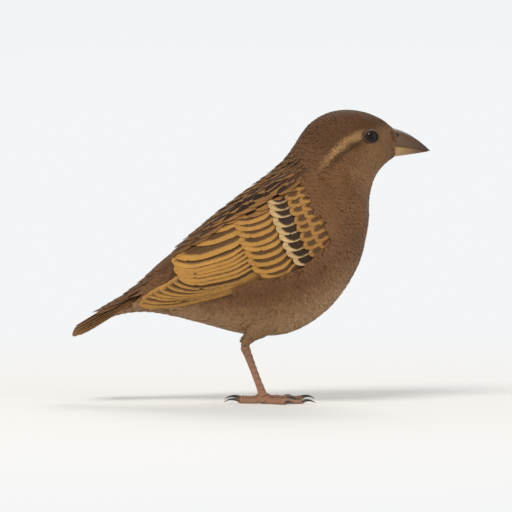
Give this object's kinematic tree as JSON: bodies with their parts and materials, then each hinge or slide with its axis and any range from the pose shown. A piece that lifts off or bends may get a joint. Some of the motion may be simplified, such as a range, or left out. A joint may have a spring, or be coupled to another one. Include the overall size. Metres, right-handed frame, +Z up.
{
  "type": "house sparrow",
  "caption": "Life-size standing house sparrow, adult female, with folded wings, a slightly notched tail, a stout conical bill and perching feet; a still display model.",
  "frame": {"origin": "middle of the bird's bounding box on the ground, between its feet", "axes": "+X towards the bill, +Y to the bird's left, +Z up"},
  "size_m": [0.125, 0.0472, 0.1022],
  "materials": {
    "plumage": "soft matt body feathers, warm brown above and paler below",
    "wing_feathers": "dark brown vanes with tawny ochre fringes, matt with a faint sheen along the barbs",
    "tail_feathers": "dark brown vanes with narrow buff fringes, matt",
    "bill_horn": "smooth horn, brown above and yellowish at the base of the lower half",
    "eye": "wet, glossy dark brown",
    "leg_skin": "pinkish brown scaled skin",
    "claw_horn": "dark horn, slightly glossy"
  },
  "bodies": {
    "root": {"head": "plumage", "neck": "plumage", "torso": "plumage", "tail": "tail_feathers", "bill_upper": "bill_horn", "bill_lower": "bill_horn", "eye_left": "eye", "wing_left": "wing_feathers", "thigh_left": "plumage", "shank_left": "leg_skin", "toe_left_1": "leg_skin", "claw_left_1": "claw_horn", "toe_left_2": "leg_skin", "claw_left_2": "claw_horn", "toe_left_3": "leg_skin", "claw_left_3": "claw_horn", "toe_left_4": "leg_skin", "claw_left_4": "claw_horn", "eye_right": "eye", "wing_right": "wing_feathers", "thigh_right": "plumage", "shank_right": "leg_skin", "toe_right_1": "leg_skin", "claw_right_1": "claw_horn", "toe_right_2": "leg_skin", "claw_right_2": "claw_horn", "toe_right_3": "leg_skin", "claw_right_3": "claw_horn", "toe_right_4": "leg_skin", "claw_right_4": "claw_horn"}
  },
  "joints": []
}
